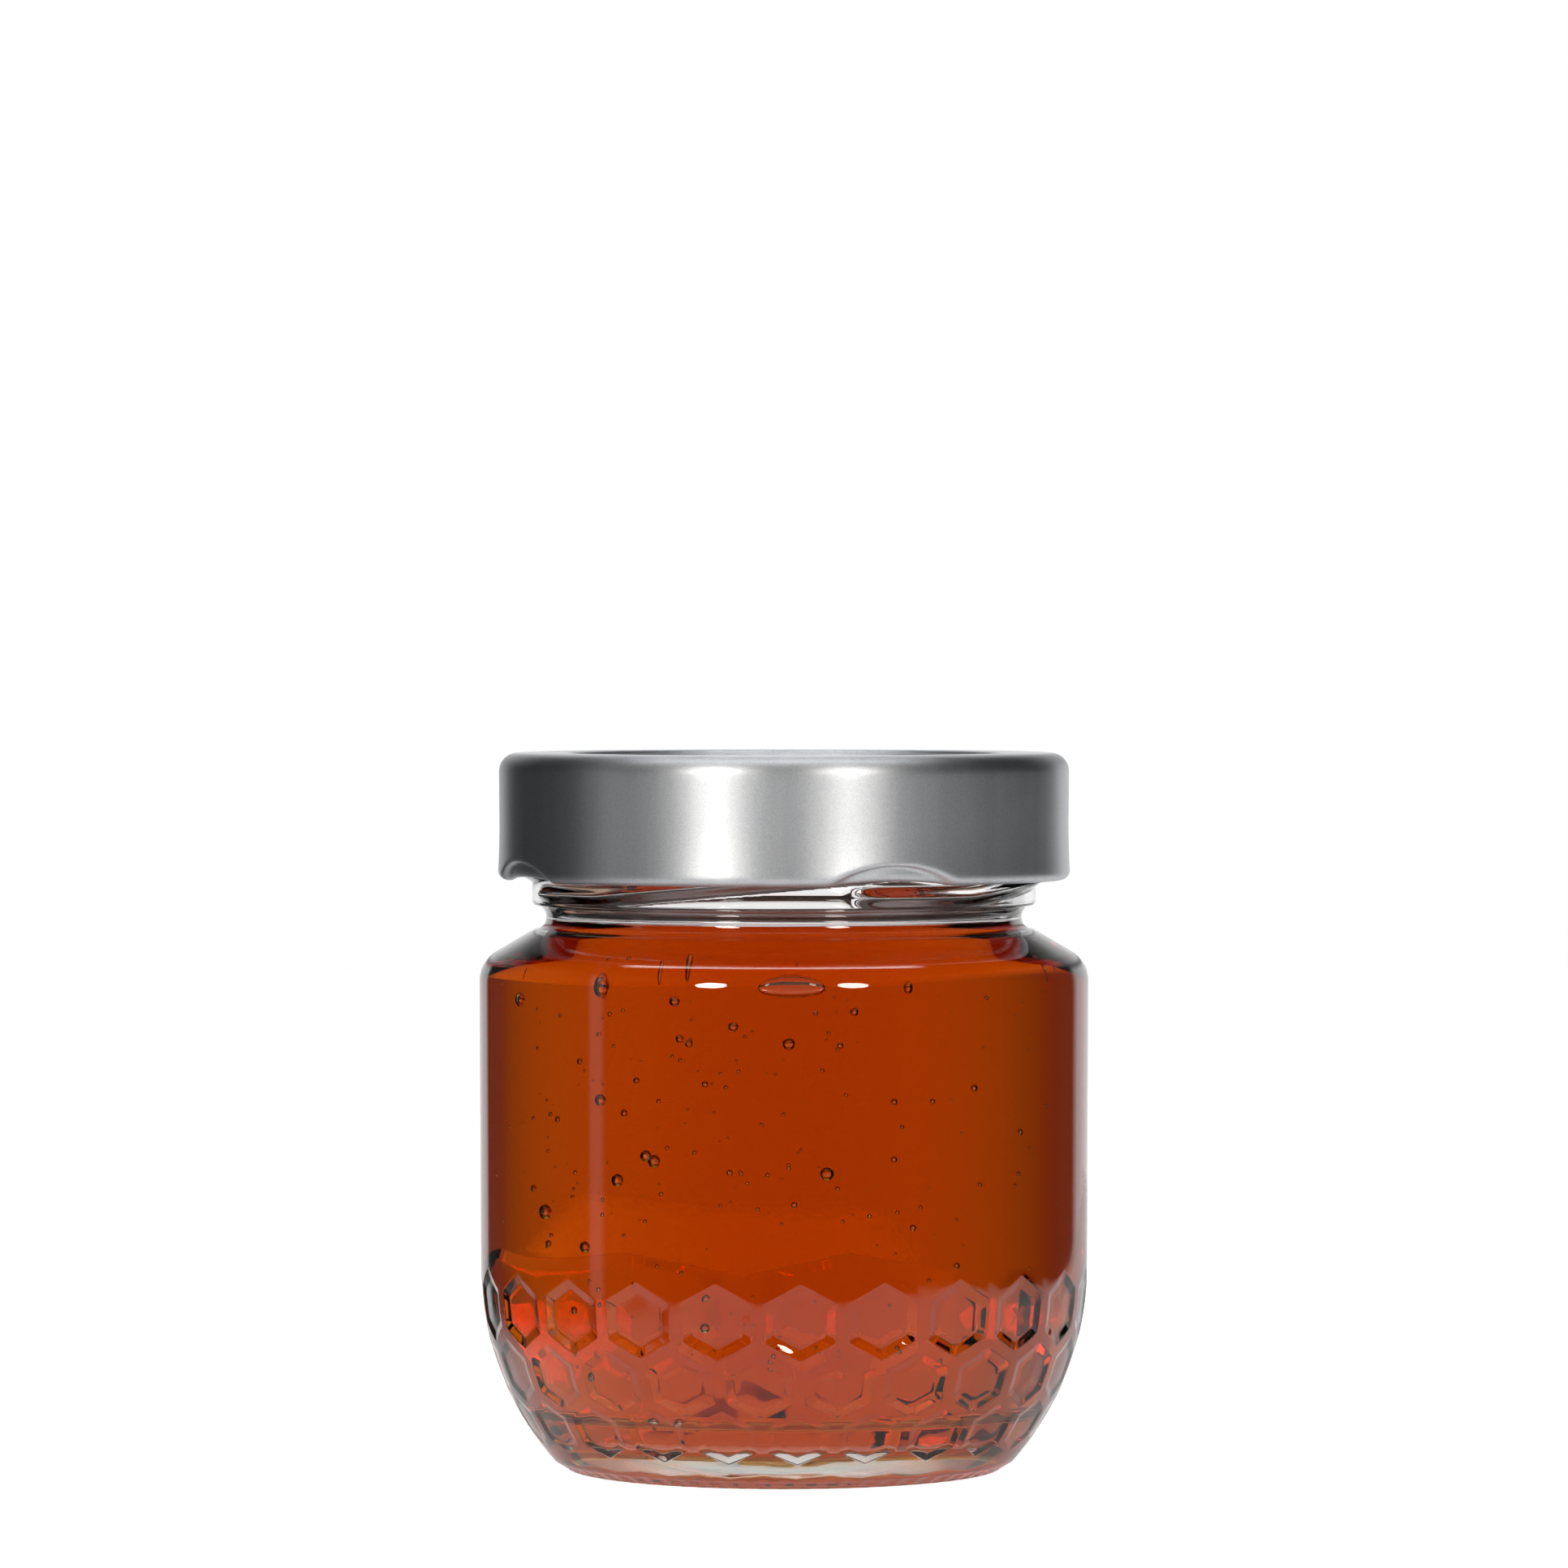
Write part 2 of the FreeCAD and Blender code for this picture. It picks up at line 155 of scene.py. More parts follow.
def heel_point(tilt, out=0.0):
    """A point of the heel at a tilt below level, moved out along its normal; above level it is the wall."""
    if tilt < 0:
        rise = HEEL_RADIUS * math.radians(-tilt)
        flare = rise * WALL_FLARE / WALL_RISE
        return HEEL_AXIS + HEEL_RADIUS + flare + out, HEEL_HEIGHT + rise
    angle = math.radians(tilt)
    reach = HEEL_RADIUS + out
    return HEEL_AXIS + reach * math.cos(angle), HEEL_HEIGHT - reach * math.sin(angle)


def row_tilt(row):
    """The tilt of a row of cells, counted down from the top one; the foot lies at row 3."""
    top_row = 6.7
    step_down = 13.4
    narrowing = 0.583
    return top_row + step_down * row - narrowing * row * row


def inside_below_neck(into_wall, bend_steps):
    """The jar's inside, from the neck down to the floor's middle, moved out into the glass."""
    points = arc((29.5, 65.03), 1.6 - into_wall, 180, 180 + SHOULDER_BEND, 6)
    points += arc((32.9, SHOULDER_HEIGHT), 1.6 + into_wall, SHOULDER_BEND, 0, bend_steps)
    points += line(points[-1], (INNER_RADIUS + into_wall, HEEL_HEIGHT), 8)
    heel = arc((HEEL_AXIS, HEEL_HEIGHT), INNER_HEEL_RADIUS + into_wall, 0, INNER_HEEL_END, 12)
    points += heel[1:]
    points += arc((24.97, 11.2), 6.0 + into_wall, INNER_HEEL_END, -90, 8)
    points += line(points[-1], (0, FLOOR_HEIGHT - into_wall), 8)
    return points


# One tile of the honeycomb, one unit wide: a ridge round it, a sloping ledge and a nearly flat floor.
# Its sides are cut in four. Each ring lies at a share of the tile's half width and at its relief.
ROW_STEP = math.sqrt(3) / 2
MERGE_DISTANCE = 0.001
start_piece()
bpy.ops.mesh.primitive_circle_add(vertices=6, radius=1 / math.sqrt(3), fill_type="NOTHING")
jar = bpy.context.object
jar.name = "jar_glass"
jar.data.name = "jar_glass"
bpy.ops.object.mode_set(mode="EDIT")
bpy.ops.mesh.select_all(action="SELECT")
bpy.ops.mesh.subdivide(number_cuts=3)
RINGS = [
    (1.0, 0.0),
    (0.88, 0.0),
    (0.845, -0.005),
    (0.825, -0.03),
    (0.805, -0.09),
    (0.72, -0.34),
    (0.635, -0.59),
    (0.610, -0.65),
    (0.590, -0.67),
    (0.44, -0.69),
    (0.22, -0.71),
]
for (before, high), (share, low) in zip(RINGS, RINGS[1:]):
    bpy.ops.mesh.extrude_region_move(TRANSFORM_OT_translate={"value": (0, 0, low - high)})
    bpy.ops.transform.resize(value=(share / before, share / before, 1), center_override=(0, 0, 0))
bpy.ops.mesh.edge_face_add()
bpy.ops.mesh.poke(offset=-0.01)
bpy.ops.object.mode_set(mode="OBJECT")
for offset, count in (((1, 0, 0), JAR_CELLS + 4), ((0.5, -ROW_STEP, 0), 3)):
    spread = jar.modifiers.new("Spread", "ARRAY")
    spread.use_relative_offset = False
    spread.use_constant_offset = True
    spread.constant_offset_displace = offset
    spread.count = count
    bpy.ops.object.modifier_apply(modifier=spread.name)
edit(jar, "EDGE")
bpy.ops.mesh.select_all(action="SELECT")
bpy.ops.mesh.remove_doubles(threshold=MERGE_DISTANCE)

# The zigzag borders are drawn out, above and below, until they lie straight.
for border, straight in ((0.28, ROW_STEP), (-2 * ROW_STEP - 0.28, -3 * ROW_STEP)):
    below = straight < 0
    bpy.ops.mesh.select_all(action="DESELECT")
    bpy.ops.mesh.select_non_manifold()
    bpy.ops.object.mode_set(mode="OBJECT")
    for edge in jar.data.edges:
        ends = [jar.data.vertices[i].co for i in edge.vertices]
        beyond = all(co.y < border if below else co.y > border for co in ends)
        within = all(1 < co.x < JAR_CELLS + 2.2 for co in ends)
        edge.select = edge.select and beyond and within
    bpy.ops.object.mode_set(mode="EDIT")
    for share in (0.6, 0.5, 0.0):
        bpy.ops.mesh.extrude_region_move()
        bpy.ops.transform.resize(value=(1, share, 1), center_override=(0, straight, 0))

# One turn of the jar is cut out of the sheet.
FIRST_CUT = 1.5
for side, cut in (
    (FIRST_CUT, {"clear_inner": True}),
    (FIRST_CUT + JAR_CELLS, {"clear_outer": True}),
):
    bpy.ops.mesh.select_all(action="SELECT")
    bpy.ops.mesh.bisect(plane_co=(side, 0, 0), plane_no=(1, 0, 0), **cut)
bpy.ops.object.mode_set(mode="OBJECT")

# The sheet is wrapped round the heel: across becomes the turn, down becomes the tilt.
# The cells are drawn shallower from row to row and towards the sides, which calms their outlines.
PITCH = 360 / JAR_CELLS
TOP_RELIEF = 0.8
RELIEF_LOSS = 0.16
SIDE_LOSS = 0.5
for corner in jar.data.vertices:
    row = -corner.co.y / ROW_STEP
    turn = math.radians(CELL_TURN + corner.co.x * PITCH)
    relief = (TOP_RELIEF - RELIEF_LOSS * max(row, 0)) * (1 - SIDE_LOSS * math.sin(turn) ** 2)
    across, up = heel_point(row_tilt(row), corner.co.z * relief)
    corner.co = (across * MM * math.sin(turn), -across * MM * math.cos(turn), up * MM)

# Above the honeycomb: wall, shoulder, groove, neck, rim, and the inside down to the floor's middle.
outline = [heel_point(row_tilt(-1))]
outline += line(outline[-1], (WALL_RADIUS, SHOULDER_HEIGHT), 8)
outline += arc((33.07, SHOULDER_HEIGHT), 4.0, 0, SHOULDER_BEND, 9)[1:]
outline += line(outline[-1], (GROOVE_AXIS, 65.5), 5)
outline += arc((GROOVE_AXIS, 67.05), 1.55, 270, 90, 10)[1:]
outline += [(NECK_RADIUS, 68.9)]
outline += line(outline[-1], (NECK_RADIUS, 75.2), 42)
outline += line(outline[-1], (NECK_RADIUS, NECK_TOP), 8)
outline += arc((29.4, NECK_TOP), 1.2, 0, 90, 7)[1:]
outline += arc((28.7, 85.85), 0.8, 90, 180, 5)
outline += line(outline[-1], (27.9, 69.6), 10)
outline += inside_below_neck(0, 5)
upper = spun("upper", outline, COLUMNS, CELL_TURN)

# Below it: the knurled foot, the standing ring and the domed underside.
foot = heel_point(row_tilt(3))
outline = [foot]
outline += line(foot, (26.6, 0.28), 6)
outline += arc((26.1, 0.55), 0.55, -30, -90, 3)
outline += arc((24.9, 0.55), 0.55, -90, -180, 4)
outline += [(24.2, 0.7)]
outline += line(outline[-1], (0, 1.9), 8)
lower = spun("lower", outline, 2 * COLUMNS, CELL_TURN)

# The honeycomb's lower edge gets as many corners as the foot has, and the three parts are joined.
edit(jar, "EDGE")
foot_line = foot[1] * MM + 0.02 * MM
select_edges(jar, lambda co: co.z < foot_line)
bpy.ops.mesh.subdivide(number_cuts=1)
bpy.ops.object.mode_set(mode="OBJECT")
upper.select_set(True)
lower.select_set(True)
bpy.ops.object.join()
edit(jar)
bpy.ops.mesh.select_all(action="SELECT")
bpy.ops.mesh.remove_doubles(threshold=0.02 * MM)
turn_outwards(jar)

# Threads stand out from the neck, each with a rounded start, a level stretch and a climb, and the
# foot is hollowed between its knurls.
THREADS = 4
THREAD_STAND = 1.45
THREAD_HALF_WIDTH = 1.3
THREAD_START_TURN = -70
THREAD_START_HEIGHT = 70.15
THREAD_LEAD = 17.7
THREAD_LEVEL = 25
KNURLS = 66
KNURL_DEPTH = 0.22


def ease(value):
    """A share from 0 to 1 with a soft start and end."""
    value = min(max(value, 0), 1)
    return value * value * (3 - 2 * value)


def thread_height(turn, up):
    """How far the glass stands out at a place on the neck."""
    best = 0.0
    for thread in range(THREADS):
        along = (turn - THREAD_START_TURN - 360 / THREADS * thread) % 360
        if along > 180:
            along -= 360
        climb = max(along - THREAD_LEVEL, 0) * THREAD_LEAD / 360
        middle = THREAD_START_HEIGHT + climb
        ends = ease((along + 4) / 7) * ease((102 - along) / 9)
        flank = ease(1 - abs(up - middle) / THREAD_HALF_WIDTH)
        best = max(best, THREAD_STAND * ends * flank)
    return best


for corner in jar.data.vertices:
    across = math.hypot(corner.co.x, corner.co.y) / MM
    up = corner.co.z / MM
    if across < 1 or corner.co.z < 0:
        continue
    turn = math.degrees(math.atan2(corner.co.x, -corner.co.y))
    stand = 0.0
    if 69 < up < 76 and across > 30:
        stand = thread_height(turn, up)
    if up < foot[1] - 0.05 and across > 26.2:
        hollow = 0.5 + 0.5 * math.cos(math.radians(turn) * KNURLS)
        stand = -KNURL_DEPTH * ease((foot[1] - up) / 0.25) * hollow
    corner.co.x *= 1 + stand / across
    corner.co.y *= 1 + stand / across


def colour(code):
    """An sRGB hex colour as linear red, green, blue and alpha."""
    channels = [int(code[i : i + 2], 16) / 255 for i in (1, 3, 5)]
    return [c / 12.92 if c <= 0.04045 else ((c + 0.055) / 1.055) ** 2.4 for c in channels] + [1.0]


def add_node(tree, kind, inputs=None, **settings):
    """Adds a node, sets its settings, and fills or links its inputs."""
    node = tree.nodes.new(kind)
    for name, value in settings.items():
        setattr(node, name, value)
    for name, value in (inputs or {}).items():
        if isinstance(value, bpy.types.NodeSocket):
            tree.links.new(value, node.inputs[name])
        else:
            node.inputs[name].default_value = value
    return node


def new_material(name):
    """An empty material with its output node."""
    material = bpy.data.materials.new(name)
    material.use_nodes = True
    material.node_tree.nodes.clear()
    return material, material.node_tree, material.node_tree.nodes.new("ShaderNodeOutputMaterial")


def mark_open(piece, test):
    """Stores, face by face, whether the surface lies in the open air and so gives a gloss."""
    open_air = piece.data.attributes.new("open_air", "FLOAT", "FACE")
    for face in piece.data.polygons:
        open_air.data[face.index].value = 1.0 if test(face) else 0.0


def clear_material(name, ior, tint, strength):
    """A clear body tinted by its depth, whose gloss goes where another clear body wets it."""
    material, tree, output = new_material(name)
    open_air = add_node(tree, "ShaderNodeAttribute", attribute_name="open_air")
    shader = add_node(
        tree,
        "ShaderNodeBsdfPrincipled",
        {
            "Base Color": (1, 1, 1, 1),
            "Roughness": 0.0,
            "IOR": ior,
            "Transmission Weight": 1.0,
            "Specular Tint": open_air.outputs["Color"],
        },
    )
    depth = add_node(tree, "ShaderNodeVolumeAbsorption", {"Color": tint, "Density": strength})
    tree.links.new(shader.outputs[0], output.inputs["Surface"])
    tree.links.new(depth.outputs[0], output.inputs["Volume"])
    return material


def wetted_glass(face):
    """Whether a face of the jar is its inner side below the honey's level."""
    middle = face.center
    across = math.hypot(middle.x, middle.y) / MM
    inwards = face.normal.x * middle.x + face.normal.y * middle.y < 0 or across < 25
    below_level = FLOOR_HEIGHT - 0.1 < middle.z / MM < HONEY_LEVEL
    return inwards and below_level and across < INNER_RADIUS + 0.25


# Soda-lime glass, fire polished: clear, with a faint green-grey tint in its depth.
mark_open(jar, lambda face: not wetted_glass(face))
jar.data.materials.append(clear_material("soda_lime_glass", 1.52, colour("#E8F0EC"), 6.0))
select_only(jar)
bpy.ops.object.shade_smooth()
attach(jar, "root")
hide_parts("jar")


# ---------------------------------------------------------------------------------------------------
# The honey. Clear amber blossom honey, poured warm, so that it holds a few bubbles. It fills the jar
# to just under the neck, climbs the glass a little, and reaches just into the wall.
# ---------------------------------------------------------------------------------------------------

INTO_WALL = 0.15
HONEY_TINT = colour("#F3CF0A")
outline = [(0, HONEY_LEVEL)]
outline += line(outline[-1], (25.6, HONEY_LEVEL), 6)
outline += [(26.8, HONEY_LEVEL + 0.02), (27.4, HONEY_LEVEL + 0.1), (27.75, HONEY_LEVEL + 0.23)]
outline += [(27.9 + INTO_WALL, HONEY_LEVEL + 0.37)]
outline += inside_below_neck(INTO_WALL, 6)
honey = spun("honey_fill", outline, COLUMNS, CELL_TURN)
turn_outwards(honey)


def inner_radius(up):
    """About the jar's inside radius at a height; its shoulder draws in 1.7 mm for each one up."""
    if up < HEEL_HEIGHT:
        return HEEL_AXIS + math.sqrt(INNER_HEEL_RADIUS**2 - (HEEL_HEIGHT - up) ** 2)
    return min(34.4, INNER_RADIUS - (up - 59.8) * 1.7)


def bubble_ball(detail):
    """One bubble of unit size, its faces turned inwards, since it is a hollow in the honey."""
    start_piece()
    bpy.ops.mesh.primitive_ico_sphere_add(subdivisions=detail, radius=1.0)
    ball = bpy.context.object
    bpy.ops.object.mode_set(mode="EDIT")
    bpy.ops.mesh.select_all(action="SELECT")
    bpy.ops.mesh.flip_normals()
    bpy.ops.object.mode_set(mode="OBJECT")
    return ball


BIG_BALL = bubble_ball(4)
SMALL_BALL = bubble_ball(2)
bubbles = []


def add_bubble(ball, turn, up, width, height=None, depth=0.4, thick=None):
    """Sets one bubble under the glass. Its height and thickness are its width unless given."""
    height = height or width
    thick = thick or width
    across = inner_radius(up) - depth - thick * 0.5 - height * 0.3
    angle = math.radians(turn)
    bubble = bpy.data.objects.new("bubble", ball.data.copy())
    bpy.context.scene.collection.objects.link(bubble)
    bubble.location = (across * MM * math.sin(angle), -across * MM * math.cos(angle), up * MM)
    bubble.rotation_euler = (0, 0, angle)
    bubble.scale = (width * MM / 2, thick * MM / 2, height * MM / 2)
    bubbles.append(bubble)


# The bubbles that stand out: turn, height, width and how far under the glass.
for turn, up, width, depth in (
    (-39, 59.3, 2.0, 0.3), (-22, 58.1, 1.3, 0.4), (-10, 55.2, 1.2, 0.4), (-21, 53.7, 1.0, 0.8),
    (-19, 53.2, 1.0, 0.6), (1, 53.1, 1.5, 3.5), (-39, 46.2, 1.5, 0.4), (-28.5, 39.8, 1.4, 0.7),
    (-26.5, 39.2, 1.6, 0.3), (-35, 36.8, 1.6, 0.5), (-55, 32.5, 1.9, 0.4), (-43, 28.7, 1.4, 0.4),
    (8.5, 37.9, 1.7, 0.3), (14, 56.9, 1.0, 1.0), (-64, 57.6, 1.7, 0.6), (25, 59.5, 1.1, 0.3),
    (-16, 23.6, 1.1, 0.5), (-16, 19.8, 1.2, 0.5), (-44, 50.7, 0.8, 0.6), (-30, 48.7, 0.8, 0.3),
    (-16, 48.4, 0.8, 1.6), (-33, 44.8, 0.9, 0.5), (-50, 43.7, 0.8, 0.4), (-11, 38.0, 0.8, 2.0),
    (-58, 35.2, 0.9, 0.5), (-53, 28.8, 0.9, 0.4), (11, 53.0, 0.8, 0.5), (22, 46.3, 0.8, 0.4),
    (31, 46.2, 0.7, 1.5), (41, 47.6, 0.9, 1.2), (22, 39.5, 0.8, 0.5), (2, 34.3, 0.8, 0.8),
    (26, 31.4, 0.8, 0.4), (53, 42.1, 0.8, 0.4), (36, 26.7, 0.8, 0.5), (-46, 21.2, 0.9, 0.4),
    (-45, 13.6, 1.3, 0.4), (-31, 8.4, 1.5, 0.5), (-24, 8.6, 1.1, 0.5),
):
    add_bubble(BIG_BALL, turn, up, width, None, depth)

# Two tall ones that rise at the shoulder, and one that lies wide and flat against it.
add_bubble(BIG_BALL, -26, 60.5, 0.5, 1.8, 0.7)
add_bubble(BIG_BALL, -20.5, 61.0, 0.8, 2.6, 0.6)
add_bubble(BIG_BALL, 1.5, 59.6, 7.6, 2.0, 0.3, 1.3)

# Small ones, most of them towards the left; finer ones; some more at both sides; and the froth that
# gathers in four places along the honey's edge.
FROTH_TURNS = (-27, 25, 118, 231)
draw = random.Random(11)
for _ in range(170):
    turn = draw.triangular(-85, 85, -30)
    add_bubble(SMALL_BALL, turn, draw.uniform(14, 61), draw.uniform(0.2, 0.62), None, draw.uniform(0.1, 5))
for _ in range(150):
    turn = draw.uniform(-80, 80)
    add_bubble(SMALL_BALL, turn, draw.uniform(8, 62), draw.uniform(0.1, 0.26), None, draw.uniform(0.1, 4))
for _ in range(140):
    turn = draw.choice((-1, 1)) * draw.triangular(55, 88, 80)
    add_bubble(SMALL_BALL, turn, draw.uniform(16, 60), draw.uniform(0.14, 0.34), None, draw.uniform(0.1, 2))
for _ in range(150):
    turn = draw.choice(FROTH_TURNS) + draw.gauss(0, 8)
    width = draw.uniform(0.16, 0.4)
    add_bubble(SMALL_BALL, turn, 66.3 - width * 0.55, width, None, draw.uniform(0.4, 0.9))

select_only(honey)
outer_faces = len(honey.data.polygons)
for bubble in bubbles:
    bubble.select_set(True)
bpy.ops.object.join()
for ball in (BIG_BALL, SMALL_BALL):
    bpy.data.objects.remove(ball)

# Blossom honey: clear amber that deepens to red-orange through the jar's width.
mark_open(
    honey, lambda face: face.index >= outer_faces or face.center.z > (HONEY_LEVEL - 0.01) * MM
)
honey.data.materials.append(clear_material("blossom_honey", 1.49, HONEY_TINT, 130.0))
bpy.ops.object.shade_smooth()
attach(honey, "root")
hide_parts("honey")


# ---------------------------------------------------------------------------------------------------
# The lid. A lug cap pressed from tinplate with a satin face: a dropped centre panel, a rounded
# shoulder, an upright skirt that flares a little, and a curled edge with four lugs pressed into it.
# ---------------------------------------------------------------------------------------------------

LID_COLUMNS = 288
LID_TOP = 87.0
PANEL_TOP = 86.2
PANEL_UNDERSIDE = 85.85
STEP_INNER = 24.7
STEP_OUTER = 26.6
SKIRT_RADIUS = 34.6
SKIRT_FLARE = 0.15
CURL_AXIS = 33.65
CURL_HEIGHT = 72.7
outline = [(0, PANEL_TOP)]
outline += line(outline[-1], (STEP_INNER, PANEL_TOP), 6)
outline += arc((STEP_INNER, 86.8), 0.6, -90, -30, 4)
outline += arc((STEP_OUTER, 86.4), 0.6, 150, 90, 4)
outline += line(outline[-1], (32.4, LID_TOP), 5)
outline += arc((32.4, 84.75), 2.25, 90, 0, 10)[1:]
outline += line(outline[-1], (SKIRT_RADIUS, 78.3), 8)
for step in range(1, 17):
    outline += [(SKIRT_RADIUS + SKIRT_FLARE * (step / 16) ** 2, 78.3 - 0.35 * step)]
outline += arc((CURL_AXIS, CURL_HEIGHT), 1.1, 0, -180, 12)[1:]
outline += line(outline[-1], (32.55, 73.3), 2)
outline += [(32.9, 73.3)]
outline += line(outline[-1], (32.9, CURL_HEIGHT), 2)
outline += arc((CURL_AXIS, CURL_HEIGHT), 0.75, 180, 360, 10)[1:]
outline += line(outline[-1], (34.4, 76.3), 12)
outline += line(outline[-1], (34.3, 84.6), 6)
outline += arc((32.3, 84.65), 2.0, 0, 90, 8)
outline += line(outline[-1], (STEP_OUTER, 86.65), 4)
outline += arc((STEP_INNER, 86.45), 0.6, -30, -90, 4)
outline += line(outline[-1], (0, PANEL_UNDERSIDE), 6)
lid = spun("lid_tinplate", outline, LID_COLUMNS)
turn_outwards(lid)

# Each lug is pressed in from outside, which leaves a half-moon hollow and lifts the edge under it.
LUG_TURN = 22.5
LUG_HALF_TURN = 14.5
LUG_HOLLOW_HEIGHT = 2.3
LUG_DEPTH = 0.34
LUG_LIFT = 0.6
for corner in lid.data.vertices:
    across = math.hypot(corner.co.x, corner.co.y) / MM
    up = corner.co.z / MM
    if across < 32.2 or up > 76:
        continue
    turn = math.degrees(math.atan2(corner.co.x, -corner.co.y))
    aside = ((turn - LUG_TURN + 45) % 90 - 45) / LUG_HALF_TURN
    if abs(aside) > 1:
        continue
    bow = 1 - aside * aside
    pressed = ease((72.0 + LUG_HOLLOW_HEIGHT * bow - up) / 1.1) * ease(bow * 2)
    squeeze = 1 - (across - 32.45) * LUG_DEPTH * pressed / across
    corner.co.x *= squeeze
    corner.co.y *= squeeze
    corner.co.z += LUG_LIFT * MM * bow * pressed

# Satin tinplate: its finish draws each highlight out tall. The grain is drawn 0.2 mm wide, as coarse
# as it needs to be to show, under faint slanting streaks 2.4 mm wide and 22 mm long.
GRAINS_PER_METRE = 5200.0
STREAKS_PER_METRE = (420.0, 420.0, 45.0)
STREAK_SLANT = (0.0, 0.5, 0.0)
material, tree, output = new_material("satin_tinplate")
place = add_node(tree, "ShaderNodeTexCoord")
grain = add_node(
    tree,
    "ShaderNodeTexNoise",
    {
        "Vector": place.outputs["Object"],
        "Scale": GRAINS_PER_METRE,
        "Detail": 2.0,
        "Roughness": 0.6,
    },
)
rub = add_node(
    tree,
    "ShaderNodeMapping",
    {
        "Vector": place.outputs["Object"],
        "Rotation": STREAK_SLANT,
        "Scale": STREAKS_PER_METRE,
    },
)
rub = add_node(tree, "ShaderNodeTexNoise", {"Vector": rub.outputs[0], "Scale": 1.0, "Detail": 3.0})
mottle = add_node(tree, "ShaderNodeMix", {0: 0.3, 2: grain.outputs[0], 3: rub.outputs[0]})
shade = add_node(
    tree,
    "ShaderNodeMix",
    {0: mottle.outputs[0], 6: colour("#A9AFB8"), 7: colour("#EDEEF0")},
    data_type="RGBA",
)
bumps = add_node(
    tree,
    "ShaderNodeBump",
    {"Strength": 0.25, "Distance": 0.00002, "Height": grain.outputs[0]},
)
round_lid = add_node(tree, "ShaderNodeTangent", direction_type="RADIAL", axis="Z")
shader = add_node(
    tree,
    "ShaderNodeBsdfPrincipled",
    {
        "Base Color": shade.outputs[2],
        "Metallic": 1.0,
        "Roughness": 0.45,
        "Anisotropic": 0.66,
        "Anisotropic Rotation": 0.25,
        "Tangent": round_lid.outputs[0],
        "Normal": bumps.outputs[0],
    },
)
tree.links.new(shader.outputs[0], output.inputs["Surface"])
lid.data.materials.append(material)
bpy.ops.object.shade_smooth()
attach(lid, "root")
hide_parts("lid")


# ---------------------------------------------------------------------------------------------------
# The studio. The jar stands on a glowing sheet of white paper, with two oval softboxes in front. The
# room is a world that glass and metal show: a bright backdrop, dark sides and a strip light
# overhead. Lengths here are in metres.
# ---------------------------------------------------------------------------------------------------

SHEET_GLOW = 0.38
GLOW_TO_CAMERA = 0.5
GLOW_THROUGH_GLASS = 0.28
SHEET_EDGES = ((0, -0.085, 0.24), (1, -0.15, 0.5))
EDGE_SOFTNESS = 0.025
start_piece()
bpy.ops.mesh.primitive_plane_add(size=3.0, location=(0, 0, -0.0001))
floor = bpy.context.object
floor.name = "floor"
material, tree, output = new_material("white_paper")
light_path = add_node(tree, "ShaderNodeLightPath")
paper = add_node(tree, "ShaderNodeBsdfDiffuse", {"Color": (0.8, 0.8, 0.8, 1)})
glow = add_node(
    tree,
    "ShaderNodeMath",
    {0: light_path.outputs["Is Camera Ray"], 1: GLOW_TO_CAMERA, 2: SHEET_GLOW},
    operation="MULTIPLY_ADD",
)
glow = add_node(
    tree,
    "ShaderNodeMath",
    {0: light_path.outputs["Is Transmission Ray"], 1: GLOW_THROUGH_GLASS, 2: glow.outputs[0]},
    operation="MULTIPLY_ADD",
)
shown = add_node(tree, "ShaderNodeEmission", {"Color": (1, 1, 1, 1), "Strength": glow.outputs[0]})
both = add_node(tree, "ShaderNodeAddShader", {0: paper.outputs[0], 1: shown.outputs[0]})
# The sheet is about 33 cm wide and 65 cm deep, with soft edges. Only the camera sees it past them.
place = add_node(tree, "ShaderNodeTexCoord")
spot = add_node(tree, "ShaderNodeSeparateXYZ", {0: place.outputs["Object"]})
to_camera = light_path.outputs["Is Camera Ray"]
inside = None
for axis, low, high in SHEET_EDGES:
    for edge, side in ((low, EDGE_SOFTNESS), (high, -EDGE_SOFTNESS)):
        part = add_node(
            tree,
            "ShaderNodeMapRange",
            {"Value": spot.outputs[axis], "From Min": edge - side, "From Max": edge + side},
        )
        inside = add_node(
            tree,
            "ShaderNodeMath",
            {0: inside.outputs[0] if inside else 1.0, 1: part.outputs[0]},
            operation="MULTIPLY",
        )
lit = add_node(tree, "ShaderNodeMath", {0: inside.outputs[0], 1: to_camera}, operation="MAXIMUM")
past = add_node(tree, "ShaderNodeBsdfTransparent")
ground = add_node(
    tree, "ShaderNodeMixShader", {0: lit.outputs[0], 1: past.outputs[0], 2: both.outputs[0]}
)
tree.links.new(ground.outputs[0], output.inputs["Surface"])
floor.data.materials.append(material)

world = bpy.data.worlds.new("studio")
bpy.context.scene.world = world
world.use_nodes = True
tree = world.node_tree
tree.nodes.clear()
output = tree.nodes.new("ShaderNodeOutputWorld")
light_path = add_node(tree, "ShaderNodeLightPath")
place = add_node(tree, "ShaderNodeTexCoord")
parts = add_node(tree, "ShaderNodeSeparateXYZ", {0: place.outputs["Generated"]})


# What a gloss mirrors is laid out by the slope that turns it towards the front.
facing = add_node(
    tree,
    "ShaderNodeVectorMath",
    {0: place.outputs["Generated"], 1: (0.0, -1.0, 0.016)},
    operation="ADD",
)
facing = add_node(tree, "ShaderNodeVectorMath", {0: facing.outputs[0]}, operation="NORMALIZE")
facing = add_node(tree, "ShaderNodeSeparateXYZ", {0: facing.outputs[0]})
lean = add_node(
    tree, "ShaderNodeMapRange", {"Value": facing.outputs[2], "From Min": -1.0, "From Max": 1.0}
).outputs[0]

